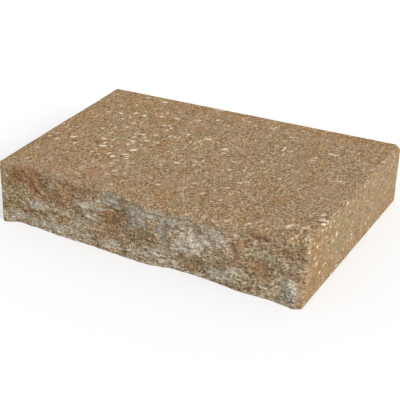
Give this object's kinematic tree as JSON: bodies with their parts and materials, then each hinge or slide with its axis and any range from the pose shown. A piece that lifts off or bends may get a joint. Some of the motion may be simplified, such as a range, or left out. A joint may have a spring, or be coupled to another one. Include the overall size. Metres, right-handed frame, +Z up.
{
  "type": "wall end block",
  "caption": "Low tapered concrete wall block with five flat moulded faces and one split rock face on its shorter long side.",
  "frame": {"origin": "on the bed face, under the middle of the block's bounding box", "axes": "+X along the block's length, +Z up from the bed, and -Y out of the split face"},
  "size_m": [0.4062, 0.2736, 0.0762],
  "materials": {
    "concrete": "dry-pressed tan concrete with pale and dark grains, rough, one face split"
  },
  "bodies": {
    "root": {"end_block": "concrete"}
  },
  "joints": []
}
